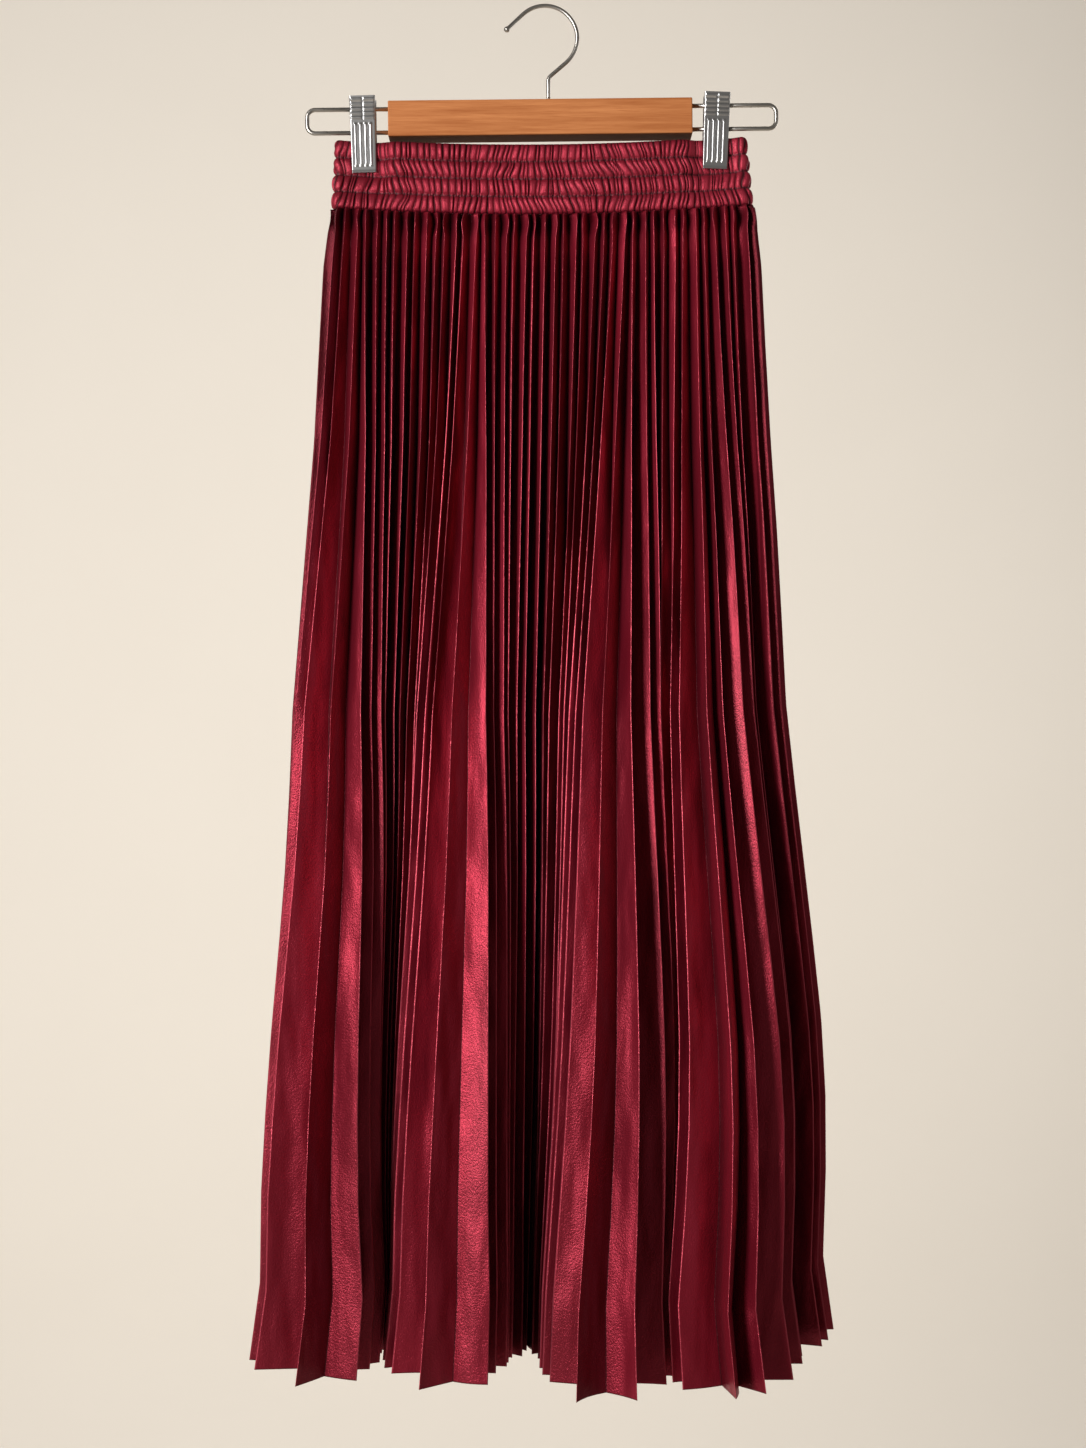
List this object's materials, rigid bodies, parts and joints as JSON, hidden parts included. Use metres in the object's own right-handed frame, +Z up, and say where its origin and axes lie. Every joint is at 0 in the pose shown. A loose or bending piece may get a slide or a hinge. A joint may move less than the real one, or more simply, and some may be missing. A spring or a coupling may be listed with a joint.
{
  "type": "pleated skirt on a clip hanger",
  "caption": "Long sunray-pleated satin skirt with a gathered elastic waistband, hanging flat from a wooden clip hanger",
  "frame": {"origin": "Underside of the top of the hook, at the middle of the wire, where a rail carries the hanger", "axes": "+X to the wearer's left as seen from the front, +Y to the back, +Z up"},
  "size_m": [0.4541, 0.2252, 1.0261],
  "materials": {
    "satin": "pleated polyester satin, glossy along the drop",
    "wood": "clear lacquered, satin",
    "steel": "bright plated wire",
    "clip_steel": "plated pressed sheet"
  },
  "bodies": {
    "root": {"skirt_front": "satin", "skirt_back": "satin", "waistband": "satin", "hanger_bar": "wood", "hanger_hook": "steel", "wire_left": "steel", "wire_right": "steel", "clip_left_jaw_front": "clip_steel", "clip_left_jaw_back": "clip_steel", "clip_left_spring": "clip_steel", "clip_right_jaw_front": "clip_steel", "clip_right_jaw_back": "clip_steel", "clip_right_spring": "clip_steel"}
  },
  "joints": []
}
